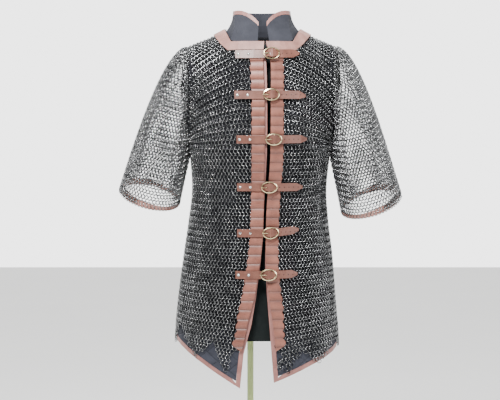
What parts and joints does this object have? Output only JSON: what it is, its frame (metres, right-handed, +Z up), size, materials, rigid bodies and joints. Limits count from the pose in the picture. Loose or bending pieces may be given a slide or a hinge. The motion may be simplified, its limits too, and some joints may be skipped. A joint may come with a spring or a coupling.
{
  "type": "chainmail hauberk on a dress form",
  "caption": "Front-buckled mail shirt with short sleeves over a quilted sleeveless lining, worn by a limbless dress form on a pole and round base.",
  "frame": {"origin": "centre of the base's underside, on the floor", "axes": "+Z up; the wearer's front faces -Y; the viewer's left is -X"},
  "size_m": [0.706, 0.34, 1.4544],
  "materials": {
    "mail": "blackened steel rings, oiled",
    "lining": "quilted dark slate cotton",
    "pale_leather": "pale pinkish vegetable tanned leather",
    "strap_leather": "brown leather, satin",
    "brass": "pale polished brass",
    "nickel": "nickel plated",
    "form_cloth": "black knitted cover",
    "stand_wood": "pale olive painted wood"
  },
  "bodies": {
    "root": {"mail_front_left": "mail", "mail_front_right": "mail", "mail_back": "mail", "mail_sleeve_left": "mail", "mail_sleeve_right": "mail", "cuff_band_left": "pale_leather", "cuff_band_right": "pale_leather", "lining_front_left": "lining", "lining_front_right": "lining", "lining_back": "lining", "lining_collar": "lining", "lining_binding_left": "pale_leather", "lining_binding_right": "pale_leather", "lining_binding_back": "pale_leather", "collar_binding_left": "pale_leather", "collar_binding_right": "pale_leather", "neck_band": "pale_leather", "scallop_strip_left": "pale_leather", "scallop_strip_right": "pale_leather", "strap_1": "strap_leather", "chape_1": "strap_leather", "buckle_1": "brass", "prong_1": "brass", "rivet_1_outer": "nickel", "rivet_1_inner": "nickel", "strap_2": "strap_leather", "chape_2": "strap_leather", "buckle_2": "brass", "prong_2": "brass", "rivet_2_outer": "nickel", "rivet_2_inner": "nickel", "strap_3": "strap_leather", "chape_3": "strap_leather", "buckle_3": "brass", "prong_3": "brass", "rivet_3_outer": "nickel", "rivet_3_inner": "nickel", "strap_4": "strap_leather", "chape_4": "strap_leather", "buckle_4": "brass", "prong_4": "brass", "rivet_4_outer": "nickel", "rivet_4_inner": "nickel", "strap_5": "strap_leather", "chape_5": "strap_leather", "buckle_5": "brass", "prong_5": "brass", "rivet_5_outer": "nickel", "rivet_5_inner": "nickel", "strap_6": "strap_leather", "chape_6": "strap_leather", "buckle_6": "brass", "prong_6": "brass", "rivet_6_outer": "nickel", "rivet_6_inner": "nickel", "dress_form": "form_cloth", "pole": "stand_wood", "base": "stand_wood"}
  },
  "joints": []
}
